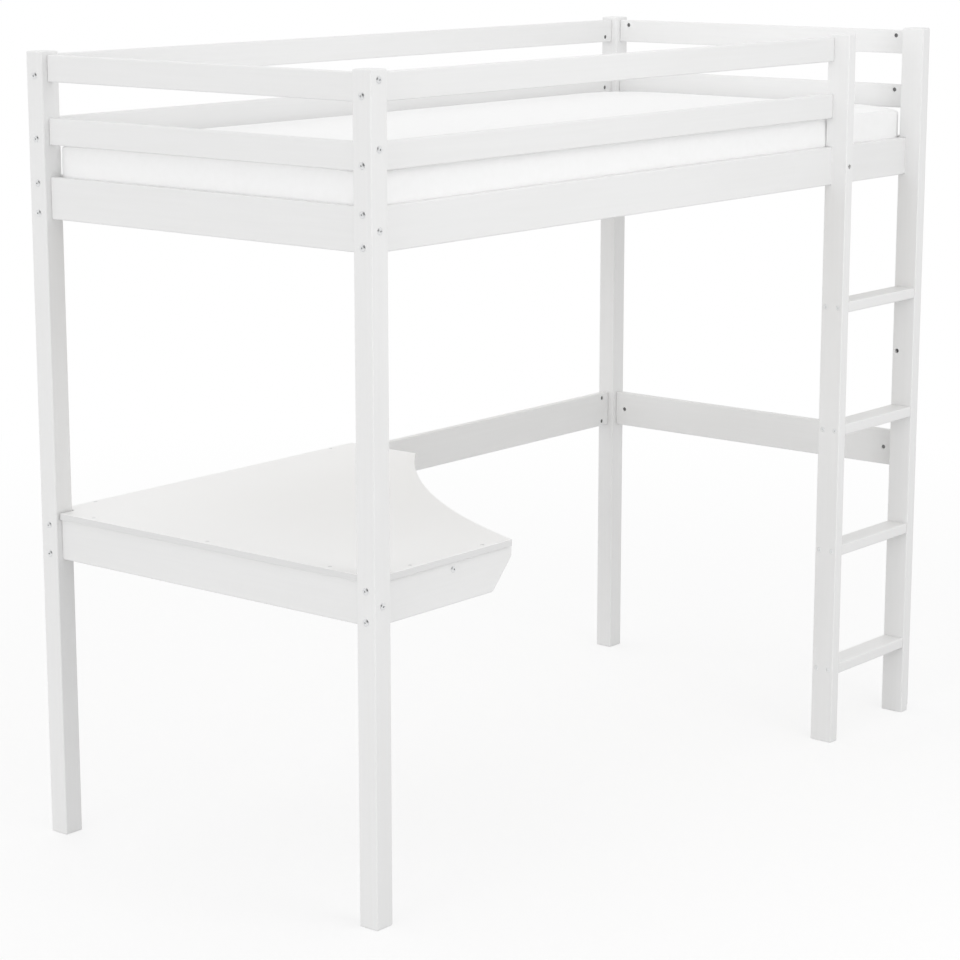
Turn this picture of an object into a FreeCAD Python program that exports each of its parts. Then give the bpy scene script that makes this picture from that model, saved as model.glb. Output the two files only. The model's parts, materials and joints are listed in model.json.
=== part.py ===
import FreeCAD, Part
import math
import os

from FreeCAD import Vector

# Loft bed for a child, in painted pine: a bed frame on four posts with guard rails, a corner desk
# below it and a ladder built into the front. Millimetres, +Z up. The pieces are drawn from the
# front left post's outer corner, with X along the bed and Y towards the back, and then moved so
# that the origin lies on the floor under the middle of the bed's plan.

# Bed frame
bed_length = 2076.0
bed_width = 974.0
post_height = 1733.0
post_side = 48.0
post_round = 3.0
rail_thick = 18.0
rail_round = 3.0
guard_height = 57.0
side_height = 90.0
top_guard_drop = 7.0
guard_gap = 76.0
sleep_gap = 68.0

# Ladder
stile_thick = 29.0
stile_depth = 59.0
stile_round = 2.5
ladder_clear = 307.0
rung_thick = 26.0
rung_depth = 57.0
rung_round = 3.5
first_rung_middle = 185.0
top_rung_gap = 280.0
rung_count = 4
notch_clear = 0.5

# Desk
desk_height = 736.0
desk_thick = 15.0
desk_round = 1.5
desk_lip = 7.0
desk_post_clear = 4.0
desk_wing_end = 1000.0
desk_wing_depth = 207.0
desk_front_end = 443.0
desk_bow = 64.0
apron_height = 90.0
apron_end_step = 9.0
apron_slant_width = 62.0
apron_slant_height = 66.0
apron_corner_round = 12.0
brace_middle = 260.0
brace_height = 32.0

# Bed base
cleat_side = 20.0
cleat_round = 1.5
cleat_lift = 2.0
cleat_inset = 45.0
slat_width = 70.0
slat_gap = 60.0
slat_thick = 16.0
slat_round = 2.0
slat_end_clear = 1.0

# Mattress
mattress_thick = 128.0
mattress_end_clear = 5.0
mattress_side_clear = 4.0
mattress_left_slide = 3.0
mattress_back_slide = 2.0
mattress_seat_clear = 0.3
mattress_post_clear = 3.0
mattress_edge = 14.0
mattress_draw = 3.0
mattress_crown = 5.0
mattress_edge_steps = 4
mattress_crown_shares = (0.08, 0.2, 0.4, 0.7)

# Connector bolts and their barrel nuts
bolt_head_radius = 7.5
bolt_head_height = 2.5
bolt_head_rim = 0.6
bolt_head_flat = 3.2
bolt_radius = 3.5
bolt_end_reach = 8.0
socket_across = 4.0
socket_depth = 1.8
bolt_bore_clear = 0.25
nut_radius = 5.0
nut_cover = 2.0
nut_inset = 29.0
nut_bore_clear = 0.2
thread_clear = 0.1
bolt_edge = 13.0

# Rung screws and stile screws, with flat heads in round recesses
rung_screw_head_radius = 5.5
rung_screw_head_height = 3.0
rung_screw_radius = 3.5
rung_screw_bite = 44.0
rung_screw_recess = 3.4
rung_screw_offset = 17.0
stile_screw_head_radius = 5.5
stile_screw_head_height = 3.0
stile_screw_radius = 3.0
stile_screw_post_bite = 28.0
stile_screw_rail_share = 0.85
stile_screw_recess = 9.0
screw_head_round = 0.8
screw_bore_clear = 0.15

# Wood screws with countersunk heads
wood_screw_head_radius = 4.2
wood_screw_radius = 2.0
wood_screw_head_sink = 0.4
wood_screw_point = 5.0
desk_screw_bite = 25.0
cleat_screw_rail_share = 0.7
slat_screw_cleat_share = 0.75
left_desk_screw_shares = (0.106, 0.5, 0.894)
front_desk_screw_shares = (0.213, 0.782)
back_desk_screw_shares = (0.138, 0.912)

overrun = 1.0

# Places that the pieces share
rail_set = (post_side - rail_thick) / 2
rail_inner = rail_set + rail_thick
rail_middle = post_side / 2
back_face = bed_width - rail_set
back_inner = bed_width - rail_inner
right_inner = bed_length - rail_inner
far_post_x = bed_length - post_side
far_post_y = bed_width - post_side
top_guard_z = post_height - top_guard_drop - guard_height
mid_guard_z = top_guard_z - guard_gap - guard_height
side_rail_z = mid_guard_z - sleep_gap - side_height
apron_top = desk_height - desk_thick
apron_z = apron_top - apron_height
stile_front = rail_inner - stile_depth
right_stile_x = far_post_x - stile_thick
left_stile_x = right_stile_x - ladder_clear - stile_thick
top_rung_middle = side_rail_z - top_rung_gap - rung_thick / 2
rung_pitch = (top_rung_middle - first_rung_middle) / (rung_count - 1)
apron_end = desk_front_end + apron_end_step
nut_length = rail_thick - 2 * nut_cover
cleat_z = side_rail_z + cleat_lift
slat_z = cleat_z + cleat_side
mattress_z = slat_z + slat_thick + mattress_seat_clear
mattress_left_clear = mattress_end_clear - mattress_left_slide
mattress_back_clear = mattress_side_clear - mattress_back_slide
post_intrusion = post_side - rail_inner - min(mattress_left_clear, mattress_back_clear)
mattress_corner = (math.sqrt(2) * post_intrusion + mattress_post_clear) / (math.sqrt(2) - 1)
front_reach = max(-stile_front, bolt_head_height)
frame_shift = Vector(-bed_length / 2, (front_reach - bolt_head_height - bed_width) / 2, 0)

ALONG = Vector(1, 0, 0)
ACROSS = Vector(0, 1, 0)
UP = Vector(0, 0, 1)


def board(corner, size, edge_round):
    """Rectangular timber with all its edges eased."""
    box = Part.makeBox(size.x, size.y, size.z, corner)
    return box.makeFillet(edge_round, box.Edges)


def placed(shape, seat, direction):
    """A fastener drawn along +Z from the origin, moved to its seat and turned to its direction."""
    moved = shape.copy()
    moved.Placement = FreeCAD.Placement(seat, FreeCAD.Rotation(UP, direction))
    return moved


def drilled(piece, bores):
    """The piece with every bore and recess that reaches it."""
    near = [bore for bore in bores if piece.BoundBox.intersect(bore.BoundBox)]
    return piece.cut(near).Solids[0] if near else piece


def hexagon_prism(across, depth, start):
    """Hexagonal prism for a key socket, from start along +Z."""
    radius = across / math.sqrt(3)
    turns = [math.radians(60 * corner) for corner in range(7)]
    points = [start + Vector(radius * math.cos(turn), radius * math.sin(turn), 0) for turn in turns]
    return Part.Face(Part.makePolygon(points)).extrude(UP * depth)


def with_shank(head, head_height, shank_radius, length):
    """A head below the origin with its key socket, on a shank along +Z."""
    shank = Part.makeCylinder(shank_radius, length)
    socket = hexagon_prism(socket_across, socket_depth, UP * -head_height)
    return head.fuse(shank).cut(socket).removeSplitter().Solids[0]


def flat_head_screw(head_radius, head_height, shank_radius, length):
    """Screw with a flat round head."""
    head = Part.makeCylinder(head_radius, head_height, UP * -head_height)
    rim = [edge for edge in head.Edges if edge.BoundBox.ZMax < 0 and edge.Closed]
    head = head.makeFillet(min(screw_head_round, head_height / 2), rim)
    return with_shank(head, head_height, shank_radius, length)


def domed_bolt(length):
    """Connector bolt with a low domed head that is flat in the middle."""
    foot = Vector(bolt_head_radius, 0, -bolt_head_rim)
    crest = Vector(bolt_head_flat, 0, -bolt_head_height)
    run = bolt_head_radius - bolt_head_flat
    fall = bolt_head_height - bolt_head_rim
    bend = (run ** 2 + fall ** 2) / (2 * fall)
    turn = math.asin(run / bend) / 2
    middle = crest + Vector(bend * math.sin(turn), 0, bend * (1 - math.cos(turn)))
    dome = Part.Arc(foot, middle, crest).toShape()
    corners = [crest, UP * -bolt_head_height, Vector(0, 0, 0), Vector(bolt_head_radius, 0, 0), foot]
    outline = Part.Wire([dome] + Part.makePolygon(corners).Edges)
    head = Part.Face(outline).revolve(Vector(0, 0, 0), UP, 360)
    return with_shank(head, bolt_head_height, bolt_radius, length)


def shank_bore(shank_radius, length, clear):
    """Hole for a shank, from just outside the seat to just past its end."""
    return Part.makeCylinder(shank_radius + clear, length + overrun + clear, UP * -overrun)


def wood_screw(length, clear, lead):
    """Countersunk screw from the surface along +Z, or with clearance and lead its own hole."""
    top = wood_screw_head_radius + clear
    shank = wood_screw_radius + clear
    cone_depth = wood_screw_head_radius - wood_screw_radius
    neck = wood_screw_head_sink + cone_depth
    tip = length + clear
    outline = [
        Vector(0, 0, wood_screw_head_sink - lead),
        Vector(top, 0, wood_screw_head_sink - lead),
        Vector(top, 0, wood_screw_head_sink),
        Vector(shank, 0, neck),
        Vector(shank, 0, tip - wood_screw_point),
        Vector(0, 0, tip),
    ]
    if lead == 0:
        del outline[1]
    face = Part.Face(Part.makePolygon(outline + outline[:1]))
    return face.revolve(Vector(0, 0, 0), UP, 360)


def screw_set(places, direction, length):
    """Wood screws at the given places, and the holes that they go into."""
    screw = wood_screw(length, 0, 0)
    hole = wood_screw(length, screw_bore_clear, wood_screw_head_sink + overrun)
    screws = [placed(screw, place, direction) for place in places]
    holes = [placed(hole, place, direction) for place in places]
    return screws, holes


def recessed_set(places, direction, head, length, recess):
    """Flat-headed screws sunk below the surface at the given places, and their stepped holes."""
    head_radius, head_height, shank_radius = head
    screw = flat_head_screw(head_radius, head_height, shank_radius, length)
    hole = shank_bore(shank_radius, length, screw_bore_clear)
    counterbore_radius = head_radius + screw_bore_clear
    counterbore = Part.makeCylinder(counterbore_radius, recess + overrun, UP * -(recess + overrun))
    hole = hole.fuse(counterbore)
    seats = [place + direction * recess for place in places]
    screws = [placed(screw, seat, direction) for seat in seats]
    holes = [placed(hole, seat, direction) for seat in seats]
    return screws, holes


def connector(seat, direction, clamp, nut_side):
    """Bolt seated on a post, its barrel nut in the rail's end, and the bores for both."""
    length = clamp + nut_inset + bolt_end_reach
    bolt = placed(domed_bolt(length), seat, direction)
    middle = seat + direction * (clamp + nut_inset)
    nut = Part.makeCylinder(nut_radius, nut_length, middle - nut_side * (nut_length / 2), nut_side)
    thread = placed(Part.makeCylinder(bolt_radius + thread_clear, length), seat, direction)
    nut = nut.cut(thread).Solids[0]
    bore = placed(shank_bore(bolt_radius, length, bolt_bore_clear), seat, direction)
    floor = nut_length / 2 + nut_bore_clear
    depth = floor + rail_thick / 2 + overrun
    nut_bore = Part.makeCylinder(nut_radius + nut_bore_clear, depth, middle - nut_side * floor, nut_side)
    return bolt, nut, [bore, nut_bore]


class Joints:
    """Connector bolts by group, with all the nuts and bores of the bed."""

    def __init__(self):
        self.bolts = {}
        self.nuts = []
        self.bores = []

    def add(self, group, seat, direction, clamp, nut_side):
        bolt, nut, bores = connector(seat, direction, clamp, nut_side)
        self.bolts.setdefault(group, []).append(bolt)
        self.nuts.append(nut)
        self.bores += bores


def posts():
    """Four square corner posts."""
    size = Vector(post_side, post_side, post_height)
    corners = {
        "post_front_left": Vector(0, 0, 0),
        "post_back_left": Vector(0, far_post_y, 0),
        "post_front_right": Vector(far_post_x, 0, 0),
        "post_back_right": Vector(far_post_x, far_post_y, 0),
    }
    return {name: board(corner, size, post_round) for name, corner in corners.items()}


def long_rail(y, z, height, start=post_side, end=far_post_x):
    """Rail along the bed, with its front face at y."""
    return board(Vector(start, y, z), Vector(end - start, rail_thick, height), rail_round)


def end_rail(x, z, height):
    """Rail across the bed between two posts, with its left face at x."""
    return board(Vector(x, post_side, z), Vector(rail_thick, far_post_y - post_side, height), rail_round)


def bolt_long_rail(joints, y, nut_side, z, height, tall, right=True):
    """Bolts along X through the posts into the ends of a long rail, two in a tall one."""
    levels = [z + bolt_edge]
    if tall:
        levels.append(z + height - bolt_edge)
    for level in levels:
        joints.add("long_rail_bolts", Vector(0, y, level), ALONG, post_side, nut_side)
        if right:
            seat = Vector(bed_length, y, level)
            joints.add("long_rail_bolts", seat, -ALONG, post_side, nut_side)


def bolt_end_rail(joints, x, nut_side, z, height, tall):
    """Bolts along Y through the posts into both ends of an end rail."""
    level = z + height / 2 if tall else z + height - bolt_edge
    joints.add("end_rail_bolts", Vector(x, 0, level), ACROSS, post_side, nut_side)
    joints.add("end_rail_bolts", Vector(x, bed_width, level), -ACROSS, post_side, nut_side)


def bed_rails(joints):
    """Guard rails and side rails on all four sides, with a way in beside the ladder."""
    levels = {
        "top_guard": (top_guard_z, guard_height),
        "mid_guard": (mid_guard_z, guard_height),
        "side_rail": (side_rail_z, side_height),
    }
    rails = {}
    back_middle = bed_width - rail_middle
    right_middle = bed_length - rail_middle
    for level, (z, height) in levels.items():
        tall = level == "side_rail"
        rails["back_" + level] = long_rail(back_inner, z, height)
        bolt_long_rail(joints, back_middle, -ACROSS, z, height, tall)
        rails["left_end_" + level] = end_rail(rail_set, z, height)
        bolt_end_rail(joints, rail_middle, ALONG, z, height, tall)
        rails["right_end_" + level] = end_rail(right_inner, z, height)
        bolt_end_rail(joints, right_middle, -ALONG, z, height, tall)
        end = far_post_x if tall else left_stile_x
        rails["front_" + level] = long_rail(rail_set, z, height, end=end)
        bolt_long_rail(joints, rail_middle, ACROSS, z, height, tall, right=tall)
        if not tall:
            seat = Vector(left_stile_x + stile_thick, rail_middle, z + bolt_edge)
            joints.add("guard_stile_bolts", seat, -ALONG, stile_thick, ACROSS)
    return rails


def ladder_stile(x):
    """Ladder upright, notched at the back so that the front side rail runs through it."""
    stile = board(Vector(x, stile_front, 0), Vector(stile_thick, stile_depth, post_height), stile_round)
    notch_height = side_height + 2 * notch_clear
    notch_corner = Vector(x - overrun, rail_set, side_rail_z - notch_clear)
    notch = Part.makeBox(stile_thick + 2 * overrun, rail_thick + overrun, notch_height, notch_corner)
    return stile.cut(notch).Solids[0]


def ladder():
    """Two stiles and the rungs between them."""
    pieces = {
        "ladder_stile_left": ladder_stile(left_stile_x),
        "ladder_stile_right": ladder_stile(right_stile_x),
    }
    rung_y = stile_front + (stile_depth - rung_depth) / 2
    for number in range(rung_count):
        middle = first_rung_middle + number * rung_pitch
        corner = Vector(left_stile_x + stile_thick, rung_y, middle - rung_thick / 2)
        rung = board(corner, Vector(ladder_clear, rung_depth, rung_thick), rung_round)
        pieces["ladder_rung_%d" % (number + 1)] = rung
    return pieces


def ladder_screws():
    """Screws from both stiles into each rung, and the two that hold the stiles to the frame."""
    head = (rung_screw_head_radius, rung_screw_head_height, rung_screw_radius)
    length = stile_thick - rung_screw_recess + rung_screw_bite
    middle_y = stile_front + stile_depth / 2
    rung_screws = []
    bores = []
    for x, direction in ((left_stile_x, ALONG), (far_post_x, -ALONG)):
        places = []
        for number in range(rung_count):
            z = first_rung_middle + number * rung_pitch
            for side in (-1, 1):
                places.append(Vector(x, middle_y + side * rung_screw_offset, z))
        screws, holes = recessed_set(places, direction, head, length, rung_screw_recess)
        rung_screws += screws
        bores += holes
    head = (stile_screw_head_radius, stile_screw_head_height, stile_screw_radius)
    rail_level = side_rail_z + side_height / 2
    at_rail = Vector(left_stile_x + stile_thick / 2, stile_front, rail_level)
    between_top_rungs = first_rung_middle + (rung_count - 1.5) * rung_pitch
    at_post = Vector(right_stile_x, middle_y + rung_screw_offset, between_top_rungs)
    rail_length = stile_depth - rail_thick - stile_screw_recess + stile_screw_rail_share * rail_thick
    post_length = stile_thick - stile_screw_recess + stile_screw_post_bite
    stile_screws = []
    for place, direction, length in ((at_rail, ACROSS, rail_length), (at_post, ALONG, post_length)):
        screws, holes = recessed_set([place], direction, head, length, stile_screw_recess)
        stile_screws += screws
        bores += holes
    return rung_screws, stile_screws, bores


def front_apron():
    """Desk apron at the front, carried by the post, with a slanted free end."""
    points = [
        Vector(post_side, rail_set, apron_z),
        Vector(apron_end - apron_slant_width, rail_set, apron_z),
        Vector(apron_end, rail_set, apron_z + apron_slant_height),
        Vector(apron_end, rail_set, apron_top),
        Vector(post_side, rail_set, apron_top),
    ]
    apron = Part.Face(Part.makePolygon(points + points[:1])).extrude(ACROSS * rail_thick)
    slant = [edge for edge in apron.Edges if is_slant_corner(edge)]
    apron = apron.makeFillet(apron_corner_round, slant)
    return apron.makeFillet(rail_round, [edge for edge in apron.Edges if in_apron_face(edge)])


def is_slant_corner(edge):
    """True for the two edges across the apron where its slanted end begins and stops."""
    box = edge.BoundBox
    across = box.YLength > rail_thick / 2
    return across and box.XMin > post_side + overrun and box.ZMax < apron_top - overrun


def in_apron_face(edge):
    """True for the edges round the apron's front and back faces."""
    return edge.BoundBox.YLength < rail_thick / 2


def desk_frame(joints):
    """Lower rails of the bed and the aprons and brace that carry the desk top."""
    back_middle = bed_width - rail_middle
    right_middle = bed_length - rail_middle
    bolt_long_rail(joints, back_middle, -ACROSS, apron_z, apron_height, True)
    bolt_long_rail(joints, rail_middle, ACROSS, apron_z, apron_height, True, right=False)
    bolt_end_rail(joints, rail_middle, ALONG, apron_z, apron_height, True)
    bolt_end_rail(joints, right_middle, -ALONG, apron_z, apron_height, True)
    brace_x = brace_middle - rail_thick / 2
    brace_z = apron_top - brace_height
    level = brace_z + brace_height / 2
    joints.add("brace_bolts", Vector(brace_middle, rail_set, level), ACROSS, rail_thick, ALONG)
    joints.add("brace_bolts", Vector(brace_middle, back_face, level), -ACROSS, rail_thick, ALONG)
    brace_size = Vector(rail_thick, back_inner - rail_inner, brace_height)
    return {
        "lower_back_rail": long_rail(back_inner, apron_z, apron_height),
        "lower_right_rail": end_rail(right_inner, apron_z, apron_height),
        "desk_left_apron": end_rail(rail_set, apron_z, apron_height),
        "desk_front_apron": front_apron(),
        "desk_cross_brace": board(Vector(brace_x, rail_inner, brace_z), brace_size, rail_round),
    }


def desk_top():
    """Desk board round the two left posts, with a long wing at the back and a bowed inner edge."""
    left = rail_set - desk_lip
    inside = post_side + desk_post_clear
    back_step = far_post_y - desk_post_clear
    wing_corner = Vector(desk_wing_end, back_face - desk_wing_depth, apron_top)
    front_corner = Vector(desk_front_end, left, apron_top)
    chord = wing_corner - front_corner
    inward = UP.cross(chord).normalize()
    bow_middle = front_corner + chord * 0.5 + inward * desk_bow
    points = [
        front_corner,
        Vector(inside, left, apron_top),
        Vector(inside, inside, apron_top),
        Vector(left, inside, apron_top),
        Vector(left, back_step, apron_top),
        Vector(inside, back_step, apron_top),
        Vector(inside, back_face, apron_top),
        Vector(desk_wing_end, back_face, apron_top),
        wing_corner,
    ]
    edges = [Part.makeLine(start, end) for start, end in zip(points, points[1:])]
    edges.append(Part.Arc(wing_corner, bow_middle, front_corner).toShape())
    top = Part.Face(Part.Wire(edges)).extrude(UP * desk_thick)
    outline = [edge for edge in top.Edges if edge.BoundBox.ZLength < desk_thick / 2]
    return top.makeFillet(desk_round, outline)


def share_places(start, end, shares):
    """Points from start to end at the given shares of the way."""
    return [start + (end - start) * share for share in shares]


def desk_screw_places():
    """Where the desk top is screwed down to the aprons and the lower back rail."""
    back_middle = bed_width - rail_middle
    left = share_places(
        Vector(rail_middle, post_side, desk_height),
        Vector(rail_middle, far_post_y, desk_height),
        left_desk_screw_shares,
    )
    front = share_places(
        Vector(post_side, rail_middle, desk_height),
        Vector(apron_end, rail_middle, desk_height),
        front_desk_screw_shares,
    )
    back = share_places(
        Vector(0, back_middle, desk_height),
        Vector(desk_wing_end, back_middle, desk_height),
        back_desk_screw_shares,
    )
    return left + front + back


def cleats():
    """Two strips along the side rails' inner faces that carry the slats."""
    start = post_side + cleat_inset
    size = Vector(bed_length - 2 * start, cleat_side, cleat_side)
    return {
        "slat_cleat_front": board(Vector(start, rail_inner, cleat_z), size, cleat_round),
        "slat_cleat_back": board(Vector(start, back_inner - cleat_side, cleat_z), size, cleat_round),
    }


def slat_middles():
    """Middles of the slats along the bed, from the cleats' one end to the other."""
    first = post_side + cleat_inset + slat_width / 2
    span = bed_length - 2 * first
    steps = round(span / (slat_width + slat_gap))
    return [first + span * number / steps for number in range(steps + 1)]


def slats():
    """Flat boards across the bed."""
    y = rail_inner + slat_end_clear
    size = Vector(slat_width, back_inner - slat_end_clear - y, slat_thick)
    pieces = {}
    for number, middle in enumerate(slat_middles()):
        corner = Vector(middle - slat_width / 2, y, slat_z)
        pieces["slat_%02d" % (number + 1)] = board(corner, size, slat_round)
    return pieces


def base_screws():
    """Screws that hold the cleats to the side rails and the slats to the cleats."""
    middles = slat_middles()
    front = rail_inner + cleat_side
    back = back_inner - cleat_side
    level = cleat_z + cleat_side / 2
    gaps = [(left + right) / 2 for left, right in zip(middles[::2], middles[1::2])]
    length = cleat_side + cleat_screw_rail_share * rail_thick
    cleat_screws, bores = screw_set([Vector(x, front, level) for x in gaps], -ACROSS, length)
    more_screws, more_bores = screw_set([Vector(x, back, level) for x in gaps], ACROSS, length)
    cleat_screws += more_screws
    bores += more_bores
    surface = slat_z + slat_thick
    rows = (rail_inner + cleat_side / 2, back_inner - cleat_side / 2)
    places = [Vector(x, y, surface) for y in rows for x in middles]
    length = slat_thick + slat_screw_cleat_share * cleat_side
    slat_screws, more_bores = screw_set(places, -UP, length)
    return cleat_screws, slat_screws, bores + more_bores


def mattress_section(inset, z):
    """Outline of the mattress at one height: round corners and sides drawn in between them."""
    left = rail_inner + mattress_end_clear + inset
    right = bed_length - left
    front = rail_inner + mattress_side_clear + inset
    back = bed_width - front
    corner = mattress_corner
    bite = corner * (1 - math.sqrt(0.5))
    middle_x = (left + right) / 2
    middle_y = (front + back) / 2
    stops = [
        ((left + corner, front), (middle_x, front + mattress_draw), (right - corner, front)),
        ((right - corner, front), (right - bite, front + bite), (right, front + corner)),
        ((right, front + corner), (right - mattress_draw, middle_y), (right, back - corner)),
        ((right, back - corner), (right - bite, back - bite), (right - corner, back)),
        ((right - corner, back), (middle_x, back - mattress_draw), (left + corner, back)),
        ((left + corner, back), (left + bite, back - bite), (left, back - corner)),
        ((left, back - corner), (left + mattress_draw, middle_y), (left, front + corner)),
        ((left, front + corner), (left + bite, front + bite), (left + corner, front)),
    ]
    edges = []
    for stop in stops:
        start, middle, end = (Vector(x, y, z) for x, y in stop)
        edges.append(Part.Arc(start, middle, end).toShape())
    return Part.Wire(edges)


def mattress_profile():
    """Inset and height of the mattress's outline, from its bottom over its side to its crown."""
    shoulder = mattress_thick - mattress_crown
    bottom = []
    top = []
    for step in range(mattress_edge_steps + 1):
        turn = math.radians(90 * step / mattress_edge_steps)
        bottom.append((mattress_edge * (1 - math.sin(turn)), mattress_edge * (1 - math.cos(turn))))
        top.append((mattress_edge * (1 - math.cos(turn)), shoulder - mattress_edge * (1 - math.sin(turn))))
    half_width = bed_width / 2 - rail_inner - mattress_side_clear
    crown_room = half_width - mattress_edge - mattress_corner
    crown = []
    for share in mattress_crown_shares:
        rise = mattress_crown * (1 - (1 - share) ** 2)
        crown.append((mattress_edge + share * crown_room, shoulder + rise))
    return bottom + top + crown


def mattress():
    """Foam mattress in its cover, pushed up to the left end and the back: round edges and a crown."""
    sections = [mattress_section(inset, mattress_z + height) for inset, height in mattress_profile()]
    slide = Vector(-mattress_left_slide, mattress_back_slide, 0)
    return Part.makeLoft(sections, True, True).translated(slide)


def build():
    """All the pieces of the bed by name."""
    joints = Joints()
    timber = posts()
    timber.update(bed_rails(joints))
    timber.update(ladder())
    timber.update(desk_frame(joints))
    timber["desk_top"] = desk_top()
    timber.update(cleats())
    timber.update(slats())
    rung_screws, stile_screws, ladder_bores = ladder_screws()
    desk_screws, desk_bores = screw_set(desk_screw_places(), -UP, desk_thick + desk_screw_bite)
    cleat_screws, slat_screws, base_bores = base_screws()
    bores = joints.bores + ladder_bores + desk_bores + base_bores
    pieces = {name: drilled(piece, bores) for name, piece in timber.items()}
    groups = dict(joints.bolts)
    groups["barrel_nuts"] = joints.nuts
    groups["rung_screws"] = rung_screws
    groups["stile_screws"] = stile_screws
    groups["desk_screws"] = desk_screws
    groups["cleat_screws"] = cleat_screws
    groups["slat_screws"] = slat_screws
    for name, solids in groups.items():
        pieces[name] = Part.makeCompound(solids)
    pieces["mattress"] = mattress()
    return pieces


os.makedirs("parts", exist_ok=True)
for name, piece in build().items():
    piece.translated(frame_shift).exportStep("parts/%s.step" % name)
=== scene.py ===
import json
import math
from types import SimpleNamespace

import bpy
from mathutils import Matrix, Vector

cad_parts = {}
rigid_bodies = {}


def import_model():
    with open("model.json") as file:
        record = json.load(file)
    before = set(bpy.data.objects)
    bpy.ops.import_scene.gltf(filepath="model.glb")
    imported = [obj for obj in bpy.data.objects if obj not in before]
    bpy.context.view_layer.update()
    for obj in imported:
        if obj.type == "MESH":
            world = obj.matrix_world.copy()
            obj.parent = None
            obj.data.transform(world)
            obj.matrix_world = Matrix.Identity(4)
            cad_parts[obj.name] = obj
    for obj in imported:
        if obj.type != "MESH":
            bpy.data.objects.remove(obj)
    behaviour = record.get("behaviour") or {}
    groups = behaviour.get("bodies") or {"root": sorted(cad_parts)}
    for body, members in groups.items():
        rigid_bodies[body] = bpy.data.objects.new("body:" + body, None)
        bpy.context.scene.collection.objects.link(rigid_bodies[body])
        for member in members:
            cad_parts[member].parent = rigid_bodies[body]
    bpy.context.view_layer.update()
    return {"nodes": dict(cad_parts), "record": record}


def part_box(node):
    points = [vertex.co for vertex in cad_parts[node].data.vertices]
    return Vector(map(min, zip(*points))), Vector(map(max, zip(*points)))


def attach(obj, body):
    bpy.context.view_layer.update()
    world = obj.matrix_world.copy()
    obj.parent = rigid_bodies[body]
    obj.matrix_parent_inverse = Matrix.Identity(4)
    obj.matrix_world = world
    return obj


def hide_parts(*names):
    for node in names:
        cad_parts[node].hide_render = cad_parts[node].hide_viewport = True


# The new file's own cube, lamp and camera go first, so that only the bed is measured.
for leftover in list(bpy.data.objects):
    bpy.data.objects.remove(leftover)

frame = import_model()
nodes = frame["nodes"]
scene = bpy.context.scene

# Camera: place in metres, yaw from +Y towards +X and pitch below the horizon in degrees,
# lens and sensor in millimetres
camera_place = (-5.02, -4.012, 2.074)
camera_yaw = 50.626
camera_pitch = 12.061
camera_lens = 104.25
camera_sensor = 36.0

# Light: strength of the sky, and the studio's dark side as reflections show it: its direction,
# the cosines to that direction at which it starts and is full, and its strength
sky_strength = 0.855
dark_side = (-0.78, -0.62, 0.08)
dark_side_span = (0.35, 0.75)
dark_side_strength = 0.08

# Lamps: each one's place, width and power, and the point that all of them face
lamp_target = (0.0, 0.0, 0.9)
lamps = {
    "left_lamp": ((-16.0, -1.6, 2.6), 7.0, 520.0),
    "front_lamp": ((-0.4, -2.9, 2.9), 2.2, 11.0),
    "low_front_lamp": ((-0.4, -3.4, 1.7), 2.2, 12.5),
    "back_lamp": ((0.3, 2.6, 4.6), 3.0, 19.0),
}

# Floor: half its width, the colour that lights the bed and the colour that is seen, how much of
# its shading is seen, and the distances at which it starts to fade and is white
white = (1, 1, 1, 1)
floor_half = 30.0
floor_colour = (0.65, 0.65, 0.65, 1)
floor_seen_colour = (0.95, 0.95, 0.95, 1)
floor_shade_share = 0.3
floor_fade = (1.6, 4.5)

# Finishes: colour ramps as (place, colour) stops, and the least and greatest roughness. None is
# under 0.28, because smoother pale surfaces come out of the denoiser with blotches.
board_shift = (7.1, 5.3, 3.7)
lacquer_ramp = [
    (0.25, (0.825, 0.824, 0.82, 1)),
    (0.5, (0.845, 0.845, 0.843, 1)),
    (0.75, (0.855, 0.855, 0.854, 1)),
]
lacquer_lift = 0.2
lacquer_roughness = (0.36, 0.5)
desk_face_ramp = [(0.3, (0.945, 0.945, 0.944, 1)), (0.7, (0.96, 0.96, 0.96, 1))]
# Painted shade on the desk board: its upright sides take this darker ramp, blended in by how far the
# normal turns from upright
desk_side_shade_ramp = [(0.3, (0.73, 0.73, 0.728, 1)), (0.7, (0.77, 0.77, 0.769, 1))]
desk_side_shade_turn = (0.35, 0.8)
desk_roughness = (0.28, 0.36)
pine_ramp = [
    (0.1, (0.85, 0.825, 0.775, 1)),
    (0.6, (0.815, 0.78, 0.72, 1)),
    (1.0, (0.745, 0.69, 0.6, 1)),
]
pine_fibre_share = 0.35
pine_roughness = (0.5, 0.72)
knot_colour = (0.42, 0.29, 0.17, 1)
knot_rim = (0.05, 0.13)
cover_ramp = [(0.3, (0.935, 0.935, 0.934, 1)), (0.7, (0.955, 0.955, 0.955, 1))]
cover_roughness = (0.82, 0.95)
cover_sheen = 0.25
cover_sheen_roughness = 0.5

# Fasteners: tints of the plating where it is dull and bright, its shade, and the groups that
# have a shade of their own: the barrel nuts and stile screws are darkened as painted shade of
# the holes they sit in, and the rung screws are paler, as they are painted over
zinc_dull = (0.9, 0.91, 0.92)
zinc_bright = (1.0, 1.01, 1.01)
zinc_ramp_places = (0.3, 0.7)
zinc_roughness = (0.28, 0.42)
zinc_shade = 0.82
painted_hole_shade_and_paint_tones = {"barrel_nuts": 0.2, "stile_screws": 0.2, "rung_screws": 0.95}

# Mattress cover in metres: grid cell, cells across a corner and rows down the sides, how far it
# lies inside its solid's box, and the radius of its corners and edges
cover_cell = 0.0165
cover_corner_cells = 6
cover_side_rows = 6
cover_smooth_levels = 1
cover_inset = 0.002
cover_left_corner = 0.04
cover_right_corner = 0.05
cover_edge = 0.011

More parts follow.
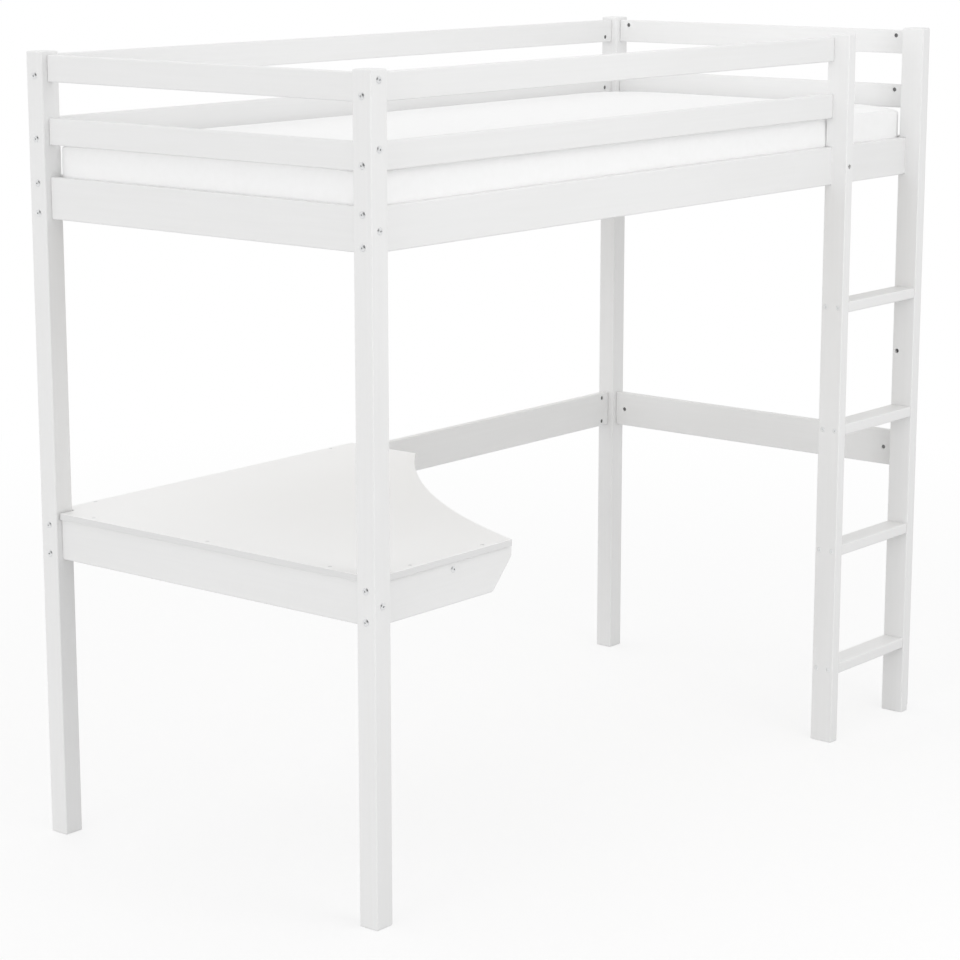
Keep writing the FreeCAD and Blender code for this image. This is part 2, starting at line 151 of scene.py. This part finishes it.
# Its form in metres: how far the front reaches out to the rail, the crown of the top, how far the
# corners sag and from how far in, and how far the middle of each side is drawn in
cover_front_reach = 0.005
cover_crown = 0.003
cover_corner_sag = 0.006
cover_sag_reach = 0.22
cover_draw = 0.0025

# Its edge: turns of the plain rows and of the seam in degrees from the top, and the seam's depth
cover_edge_turns = (0, 14, 28, 40, 72, 90)
cover_seam_turn = 54.0
cover_seam_half_turn = 5.0
cover_seam_depth = 0.0035

# Swelling of the cover by cloth simulation, with the farthest that a point may travel, and the
# bulge of its underside between the slats
swell_frames = 20
swell_quality = 6
swell_pressure = 4.0
swell_mass = 0.2
swell_stretch_stiffness = 30
swell_shear_stiffness = 12
swell_bending_stiffness = 2
swell_cap = 0.004
slat_bulge = 0.002


def node(tree, kind, values=None, **settings):
    """Adds a shader node with its settings, and values or links for its inputs."""
    made = tree.nodes.new(kind)
    for name, value in settings.items():
        setattr(made, name, value)
    for name, value in (values or {}).items():
        if isinstance(value, bpy.types.NodeSocket):
            tree.links.new(value, made.inputs[name])
        else:
            made.inputs[name].default_value = value
    return made


def calculate(tree, operation, *values):
    """Result of a sum on numbers."""
    return node(tree, "ShaderNodeMath", dict(enumerate(values)), operation=operation).outputs[0]


def calculate_vector(tree, operation, values, result="Vector"):
    """Result of a sum on vectors."""
    return node(tree, "ShaderNodeVectorMath", values, operation=operation).outputs[result]


def carry(tree, value, span, target=(0, 1), kind="LINEAR"):
    """Value carried from one span to another, and held at the ends."""
    values = {"Value": value, "From Min": span[0], "From Max": span[1]}
    values["To Min"], values["To Max"] = target
    return node(tree, "ShaderNodeMapRange", values, interpolation_type=kind).outputs["Result"]


def mix_numbers(tree, share, first, second):
    """The first number where share is 0, the second where it is 1."""
    return node(tree, "ShaderNodeMix", {0: share, 2: first, 3: second}).outputs[0]


def mix_colours(tree, share, first, second):
    """The first colour where share is 0, the second where it is 1."""
    return node(tree, "ShaderNodeMix", {0: share, 6: first, 7: second}, data_type="RGBA").outputs[2]


def new_material(name):
    """A material with a principled shader, and its node tree."""
    material = bpy.data.materials.new(name)
    material.use_nodes = True
    tree = material.node_tree
    shader = tree.nodes["Principled BSDF"]
    return material, tree, shader


def wire(tree, shader, name, socket):
    tree.links.new(socket, shader.inputs[name])


def board_coordinates(tree, scale=(1, 1, 1)):
    """Object coordinates moved by a different amount on each board, and scaled per axis."""
    place = node(tree, "ShaderNodeTexCoord").outputs["Object"]
    chance = node(tree, "ShaderNodeObjectInfo").outputs["Random"]
    shift = calculate_vector(tree, "SCALE", {0: board_shift, "Scale": chance})
    moved = calculate_vector(tree, "ADD", {0: place, 1: shift})
    return calculate_vector(tree, "MULTIPLY", {0: moved, 1: scale})


def along_grain(axis, along, across):
    """Scale per axis for a pattern drawn out along the grain."""
    scale = [across] * 3
    scale[axis] = along
    return tuple(scale)


def ramp(tree, factor, stops):
    """Colour ramp through (place, colour) stops."""
    made = node(tree, "ShaderNodeValToRGB", {"Fac": factor})
    elements = made.color_ramp.elements
    while len(elements) < len(stops):
        elements.new(0.5)
    for element, (place, colour) in zip(elements, stops):
        element.position = place
        element.color = colour
    return made.outputs["Color"]


def noise(tree, vector, scale, detail, roughness=0.5):
    values = {"Vector": vector, "Scale": scale, "Detail": detail, "Roughness": roughness}
    return node(tree, "ShaderNodeTexNoise", values).outputs["Fac"]


def bump(tree, height, strength, distance, normal=None):
    values = {"Height": height, "Strength": strength, "Distance": distance}
    if normal is not None:
        values["Normal"] = normal
    return node(tree, "ShaderNodeBump", values).outputs["Normal"]


def white_lacquer(axis):
    """Satin white lacquer on pine: grain lines that just show through, and a faint orange peel."""
    material, tree, shader = new_material("white_lacquer_%s" % "xyz"[axis])
    fine = board_coordinates(tree, along_grain(axis, along=1.5, across=55))
    broad = board_coordinates(tree, along_grain(axis, along=1, across=4))
    grain = noise(tree, fine, scale=2.2, detail=6, roughness=0.6)
    cloud = noise(tree, broad, scale=2.5, detail=3)
    peel = noise(tree, board_coordinates(tree), scale=420, detail=2)
    tone = calculate(tree, "MULTIPLY_ADD", grain, cloud, lacquer_lift)
    wire(tree, shader, "Base Color", ramp(tree, tone, lacquer_ramp))
    wire(tree, shader, "Roughness", carry(tree, cloud, (0, 1), lacquer_roughness))
    lines = bump(tree, grain, strength=0.06, distance=0.0005)
    normal = bump(tree, peel, strength=0.06, distance=0.0003, normal=lines)
    wire(tree, shader, "Normal", normal)
    return material


def desk_board():
    """White coated board, with painted shade on its upright sides, which get a darker grey than its top
    and underside.
    """
    material, tree, shader = new_material("white_desk_board")
    cloud = noise(tree, board_coordinates(tree), scale=3.5, detail=3)
    peel = noise(tree, board_coordinates(tree), scale=650, detail=2)
    fibre = noise(tree, board_coordinates(tree, (1, 1, 60)), scale=14, detail=4)
    face = ramp(tree, cloud, desk_face_ramp)
    edge = ramp(tree, fibre, desk_side_shade_ramp)
    normal = node(tree, "ShaderNodeNewGeometry").outputs["Normal"]
    upright = node(tree, "ShaderNodeSeparateXYZ", {0: normal}).outputs["Z"]
    flat = carry(tree, calculate(tree, "ABSOLUTE", upright), desk_side_shade_turn)
    # The upright sides get the darker colour: painted shade
    wire(tree, shader, "Base Color", mix_colours(tree, flat, edge, face))
    wire(tree, shader, "Roughness", carry(tree, cloud, (0, 1), desk_roughness))
    wire(tree, shader, "Normal", bump(tree, peel, strength=0.06, distance=0.0003))
    return material


def bare_pine(axis):
    """Planed pine without paint: bent growth rings, fine fibres and a few knots."""
    material, tree, shader = new_material("bare_pine_%s" % "xyz"[axis])
    place = board_coordinates(tree, along_grain(axis, along=0.7, across=9))
    values = {"Vector": place, "Scale": 1.6, "Distortion": 5, "Detail": 3, "Detail Scale": 1.2}
    rings = node(tree, "ShaderNodeTexWave", values, wave_type="RINGS").outputs["Fac"]
    place = board_coordinates(tree, along_grain(axis, along=6, across=420))
    fibre = noise(tree, place, scale=1.5, detail=4)
    blend = calculate(tree, "MULTIPLY_ADD", fibre, pine_fibre_share, rings)
    place = board_coordinates(tree, along_grain(axis, along=2.2, across=9))
    knots = node(tree, "ShaderNodeTexVoronoi", {"Vector": place, "Scale": 1.0}).outputs["Distance"]
    clear = carry(tree, knots, knot_rim)
    colour = mix_colours(tree, clear, knot_colour, ramp(tree, blend, pine_ramp))
    wire(tree, shader, "Base Color", colour)
    wire(tree, shader, "Roughness", carry(tree, fibre, (0, 1), pine_roughness))
    wire(tree, shader, "Normal", bump(tree, fibre, strength=0.16, distance=0.0005))
    return material


def zinc_steel(shade):
    """Zinc-plated steel with fine turning marks and a slightly clouded plating."""
    material, tree, shader = new_material("zinc_plated_steel_%d" % round(100 * shade))
    cloud = noise(tree, board_coordinates(tree), scale=180, detail=4)
    marks = noise(tree, board_coordinates(tree), scale=2600, detail=2)
    # A low shade darkens the plating as painted shade, for the fasteners that sit in holes
    colours = [(*(shade * part for part in tint), 1) for tint in (zinc_dull, zinc_bright)]
    wire(tree, shader, "Base Color", ramp(tree, cloud, list(zip(zinc_ramp_places, colours))))
    wire(tree, shader, "Roughness", carry(tree, cloud, (0, 1), zinc_roughness))
    wire(tree, shader, "Normal", bump(tree, marks, strength=0.12, distance=0.0001))
    shader.inputs["Metallic"].default_value = 1.0
    return material


def cover_ribs(tree, place, direction):
    values = {"Vector": place, "Scale": 190, "Distortion": 1.2, "Detail": 1}
    return node(tree, "ShaderNodeTexWave", values, bands_direction=direction).outputs["Fac"]


def cover_cloth():
    """White knitted mattress cover: fine ribs crossed by stitches, with a soft sheen."""
    material, tree, shader = new_material("mattress_cover")
    place = node(tree, "ShaderNodeTexCoord").outputs["Object"]
    waver = noise(tree, place, scale=60, detail=3)
    ribs = {direction: cover_ribs(tree, place, direction) for direction in "XYZ"}
    rows = calculate(tree, "MULTIPLY", ribs["X"], ribs["Y"])
    knit = calculate(tree, "ADD", rows, ribs["Z"])
    wire(tree, shader, "Base Color", ramp(tree, waver, cover_ramp))
    wire(tree, shader, "Roughness", carry(tree, waver, (0, 1), cover_roughness))
    wire(tree, shader, "Normal", bump(tree, knit, strength=0.12, distance=0.0002))
    shader.inputs["Sheen Weight"].default_value = cover_sheen
    shader.inputs["Sheen Roughness"].default_value = cover_sheen_roughness
    return material


def grain_axis(name):
    """The axis along which a board is longest."""
    low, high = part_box(name)
    size = high - low
    return max(range(3), key=lambda axis: size[axis])


def dress_nodes():
    """Gives every rigid piece its finish."""
    lacquers = [white_lacquer(axis) for axis in range(3)]
    pines = [bare_pine(axis) for axis in range(3)]
    desk = desk_board()
    shades = sorted({zinc_shade, *painted_hole_shade_and_paint_tones.values()})
    zincs = {shade: zinc_steel(shade) for shade in shades}
    slots = {row["node"]: row["material_slot"] for row in frame["record"]["subparts"]}
    for name, piece in nodes.items():
        slot = slots[name]
        if slot == "white_lacquered_pine":
            finish = lacquers[grain_axis(name)]
        elif slot == "bare_pine":
            finish = pines[grain_axis(name)]
        elif slot == "white_desk_board":
            finish = desk
        elif slot == "zinc_plated_steel":
            # The barrel nuts and stile screws get a dark tone that is painted shade of their holes
            finish = zincs[painted_hole_shade_and_paint_tones.get(name, zinc_shade)]
        else:
            continue
        piece.material_slots[0].material = finish


def steps_between(start, end, count):
    return [start + (end - start) * step / count for step in range(count + 1)]


def grid_line(half, first_corner, last_corner):
    """Places across a rounded rectangle's grid: close together in the corners, even between."""
    start = first_corner - half
    end = half - last_corner
    count = max(1, round((end - start) / cover_cell))
    line = steps_between(-half, start, cover_corner_cells)[:-1]
    line += steps_between(start, end, count)
    line += steps_between(end, half, cover_corner_cells)[1:]
    return line


def cover_grid(low, high):
    """What the cover's mesh is laid out on: its grid lines, half sizes, middle and heights."""
    grid = SimpleNamespace()
    grid.middle = (low + high) / 2
    grid.half_x = (high.x - low.x) / 2 - cover_inset
    grid.half_y = (high.y - low.y) / 2 - cover_inset
    grid.bottom = low.z + slat_bulge / 2
    grid.thick = high.z - cover_crown - grid.bottom
    grid.line_x = grid_line(grid.half_x, cover_left_corner, cover_right_corner)
    grid.line_y = grid_line(grid.half_y, cover_right_corner, cover_right_corner)
    grid.last_x = len(grid.line_x) - 1
    grid.last_y = len(grid.line_y) - 1
    return grid


def border_places(grid):
    """Places of the grid points once round the border."""
    border = [(i, 0) for i in range(grid.last_x)]
    border += [(grid.last_x, j) for j in range(grid.last_y)]
    border += [(i, grid.last_y) for i in range(grid.last_x, 0, -1)]
    border += [(0, j) for j in range(grid.last_y, 0, -1)]
    return border


def round_corner(x, y, half_x, half_y, corner):
    """A point of the plain rectangle carried into the same rectangle with round corners."""
    across = (abs(x) - (half_x - corner)) / corner
    along = (abs(y) - (half_y - corner)) / corner
    if across <= 0 or along <= 0:
        return x, y
    round_x = across * math.sqrt(1 - along * along / 2)
    round_y = along * math.sqrt(1 - across * across / 2)
    new_x = half_x - corner + corner * round_x
    new_y = half_y - corner + corner * round_y
    return math.copysign(new_x, x), math.copysign(new_y, y)


def plan(grid, i, j, inset):
    """Plan place of a grid point when the outline is drawn in by inset."""
    x, y = grid.line_x[i], grid.line_y[j]
    draw_x = cover_draw * max(0, 1 - (y / grid.half_y) ** 2) * abs(x / grid.half_x)
    draw_y = cover_draw * max(0, 1 - (x / grid.half_x) ** 2) * abs(y / grid.half_y)
    corner = cover_left_corner if x < 0 else cover_right_corner
    x, y = round_corner(x, y, grid.half_x, grid.half_y, corner)
    x -= math.copysign(draw_x, x)
    y -= math.copysign(draw_y, y)
    if y < 0:
        y *= 1 + cover_front_reach / grid.half_y
    shrink_x = (grid.half_x - inset) / grid.half_x
    shrink_y = (grid.half_y - inset) / grid.half_y
    return grid.middle.x + x * shrink_x, grid.middle.y + y * shrink_y


def level(grid, i, j, height):
    """Height of a point, brought down towards the mattress's corners."""
    near_x = max(0, 1 - (grid.half_x - abs(grid.line_x[i])) / cover_sag_reach)
    near_y = max(0, 1 - (grid.half_y - abs(grid.line_y[j])) / cover_sag_reach)
    sag = cover_corner_sag * (near_x * near_y) ** 2
    return grid.bottom + height * (1 - sag / grid.thick)


def add_sheet(grid, points, faces, height, crown):
    """Adds the gridded top or underside, and returns the number of each of its points."""
    numbers = {}
    for i, x in enumerate(grid.line_x):
        for j, y in enumerate(grid.line_y):
            rise = crown * (1 - (x / grid.half_x) ** 4) * (1 - (y / grid.half_y) ** 2)
            numbers[i, j] = len(points)
            points.append((*plan(grid, i, j, cover_edge), level(grid, i, j, height) + rise))
    for i in range(grid.last_x):
        for j in range(grid.last_y):
            corners = [numbers[i, j], numbers[i + 1, j], numbers[i + 1, j + 1], numbers[i, j + 1]]
            faces.append(corners if height > 0 else corners[::-1])
    return numbers


def edge_profile(thick):
    """Inset, height and whether a seam holds it, for each row from the top's border to the bottom's."""
    seam = cover_seam_turn
    near = cover_seam_half_turn
    upper = []
    for turn in sorted([*cover_edge_turns, seam - near, seam, seam + near]):
        angle = math.radians(turn)
        pinch = cover_seam_depth if turn == seam else 0
        radius = cover_edge - pinch
        inset = cover_edge - radius * math.sin(angle)
        drop = cover_edge - radius * math.cos(angle)
        upper.append((inset, drop, abs(turn - seam) <= near))
    side = steps_between(cover_edge, thick - cover_edge, cover_side_rows)[1:-1]
    rows = [(inset, thick - drop, held) for inset, drop, held in upper]
    rows += [(0.0, thick - drop, False) for drop in side]
    rows += [(inset, drop, held) for inset, drop, held in reversed(upper)]
    return rows


def join_rows(faces, above, below):
    """Adds the ring of faces between two rows of points."""
    count = len(above)
    for step in range(count):
        after = (step + 1) % count
        faces.append([above[step], below[step], below[after], above[after]])


def mattress_mesh(low, high):
    """Closed quad mesh of the cover, and the points that lie in its seams."""
    grid = cover_grid(low, high)
    border = border_places(grid)
    points, faces, seams = [], [], []
    top = add_sheet(grid, points, faces, grid.thick, cover_crown)
    base = add_sheet(grid, points, faces, 0, 0)
    above = [top[place] for place in border]
    for inset, height, held in edge_profile(grid.thick)[1:-1]:
        start = len(points)
        points += [(*plan(grid, i, j, inset), level(grid, i, j, height)) for i, j in border]
        below = list(range(start, len(points)))
        if held:
            seams += below
        join_rows(faces, above, below)
        above = below
    join_rows(faces, above, [base[place] for place in border])
    mesh = bpy.data.meshes.new("mattress_cover")
    mesh.from_pydata(points, [], faces)
    mesh.update()
    return mesh, seams


def add_cloth(piece, seams):
    """Adds the cloth simulation that swells the cover, with its seams held."""
    group = piece.vertex_groups.new(name="seams")
    group.add(seams, 1.0, "REPLACE")
    cloth = piece.modifiers.new("swell", "CLOTH")
    settings = cloth.settings
    settings.quality = swell_quality
    settings.mass = swell_mass
    settings.tension_stiffness = swell_stretch_stiffness
    settings.compression_stiffness = swell_stretch_stiffness
    settings.shear_stiffness = swell_shear_stiffness
    settings.bending_stiffness = swell_bending_stiffness
    settings.use_pressure = True
    settings.uniform_pressure_force = swell_pressure
    settings.vertex_group_mass = group.name
    settings.effector_weights.gravity = 0
    cloth.point_cache.frame_start = 1
    cloth.point_cache.frame_end = swell_frames
    return cloth, group


def swell(piece, seams):
    """Lets the cover swell, and keeps the result in its mesh."""
    cloth, group = add_cloth(piece, seams)
    for number in range(1, swell_frames + 1):
        scene.frame_set(number)
    evaluated = piece.evaluated_get(bpy.context.evaluated_depsgraph_get())
    moved = [point.co.copy() for point in evaluated.data.vertices]
    piece.modifiers.remove(cloth)
    piece.vertex_groups.remove(group)
    scene.frame_set(1)
    for point, place in zip(piece.data.vertices, moved):
        travel = place - point.co
        if travel.length > swell_cap:
            travel *= swell_cap / travel.length
        point.co += travel


def is_slat(name):
    return name.startswith("slat_") and name[-2:].isdigit()


def rest_on_slats(piece, slat_top):
    """Presses the underside flat on the slats and lets it bulge a little between them."""
    spans = sorted((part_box(name)[0].x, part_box(name)[1].x) for name in nodes if is_slat(name))
    gaps = [(left[1], right[0]) for left, right in zip(spans, spans[1:])]
    for point in piece.data.vertices:
        lowest = slat_top
        for start, end in gaps:
            if start < point.co.x < end:
                share = (point.co.x - start) / (end - start)
                lowest = slat_top - slat_bulge * math.sin(math.pi * share) ** 2
        point.co.z = max(point.co.z, lowest)
    piece.data.update()


def make_mattress():
    """The mattress in its cover, which stands for the plain solid."""
    low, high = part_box("mattress")
    mesh, seams = mattress_mesh(low, high)
    piece = bpy.data.objects.new("mattress_in_cover", mesh)
    scene.collection.objects.link(piece)
    swell(piece, seams)
    rest_on_slats(piece, low.z)
    for face in mesh.polygons:
        face.use_smooth = True
    smooth = piece.modifiers.new("smooth", "SUBSURF")
    smooth.levels = cover_smooth_levels
    smooth.render_levels = cover_smooth_levels
    mesh.materials.append(cover_cloth())
    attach(piece, "mattress")
    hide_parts("mattress")


def mirror_rays(tree):
    """1 for rays that a reflection or a transparent piece sends out, else 0."""
    path = node(tree, "ShaderNodeLightPath").outputs
    return calculate(tree, "MAXIMUM", path["Is Glossy Ray"], path["Is Transmission Ray"])


def camera_rays(tree):
    """1 for rays from the camera, else 0."""
    return node(tree, "ShaderNodeLightPath").outputs["Is Camera Ray"]


def floor_finish():
    """Pale floor that keeps the bed's shadow near it and fades to white further out."""
    material = bpy.data.materials.new("pale_floor")
    material.use_nodes = True
    tree = material.node_tree
    tree.nodes.clear()
    place = node(tree, "ShaderNodeTexCoord").outputs["Object"]
    reach = calculate_vector(tree, "LENGTH", {0: place}, result="Value")
    fade = carry(tree, reach, floor_fade, (1 - floor_shade_share, 1), "SMOOTHSTEP")
    seen = calculate(tree, "MAXIMUM", camera_rays(tree), mirror_rays(tree))
    white_share = calculate(tree, "MULTIPLY", seen, fade)
    colour = mix_colours(tree, seen, floor_colour, floor_seen_colour)
    shaded = node(tree, "ShaderNodeBsdfDiffuse", {"Color": colour}).outputs[0]
    bright = node(tree, "ShaderNodeEmission", {"Color": white, "Strength": 1.0}).outputs[0]
    mixed = node(tree, "ShaderNodeMixShader", {0: white_share, 1: shaded, 2: bright}).outputs[0]
    node(tree, "ShaderNodeOutputMaterial", {"Surface": mixed})
    return material


def make_floor():
    mesh = bpy.data.meshes.new("floor")
    corners = [(x * floor_half, y * floor_half, 0) for x, y in ((-1, -1), (1, -1), (1, 1), (-1, 1))]
    mesh.from_pydata(corners, [], [(0, 1, 2, 3)])
    mesh.materials.append(floor_finish())
    floor = bpy.data.objects.new("floor", mesh)
    scene.collection.objects.link(floor)


def make_sky():
    """White behind the bed for the camera, an even soft light, and in reflections one darker side."""
    world = bpy.data.worlds.new("studio")
    world.use_nodes = True
    scene.world = world
    tree = world.node_tree
    tree.nodes.clear()
    way = node(tree, "ShaderNodeTexCoord").outputs["Generated"]
    near = calculate_vector(tree, "DOT_PRODUCT", {0: way, 1: dark_side}, result="Value")
    mirrored = carry(tree, near, dark_side_span, (1, dark_side_strength), "SMOOTHSTEP")
    soft = mix_numbers(tree, mirror_rays(tree), sky_strength, mirrored)
    strength = mix_numbers(tree, camera_rays(tree), soft, 1.0)
    sky = node(tree, "ShaderNodeBackground", {"Color": white, "Strength": strength}).outputs[0]
    node(tree, "ShaderNodeOutputWorld", {"Surface": sky})


def make_lamp(name, place, width, power):
    """A round soft lamp, which reflections don't show: they show the plain studio."""
    data = bpy.data.lights.new(name, "AREA")
    data.shape = "DISK"
    data.size = width
    data.energy = power
    lamp = bpy.data.objects.new(name, data)
    lamp.location = place
    aim = Vector(lamp_target) - Vector(place)
    lamp.rotation_euler = aim.to_track_quat("-Z", "Y").to_euler()
    lamp.visible_glossy = False
    scene.collection.objects.link(lamp)


def make_camera():
    data = bpy.data.cameras.new("camera")
    data.lens = camera_lens
    data.sensor_width = camera_sensor
    camera = bpy.data.objects.new("camera", data)
    camera.location = camera_place
    camera.rotation_euler = (math.radians(90 - camera_pitch), 0, math.radians(-camera_yaw))
    scene.collection.objects.link(camera)
    scene.camera = camera


scene.view_settings.view_transform = "Standard"
make_camera()
dress_nodes()
make_mattress()
make_floor()
make_sky()
for lamp_name, (lamp_place, lamp_width, lamp_power) in lamps.items():
    make_lamp(lamp_name, lamp_place, lamp_width, lamp_power)
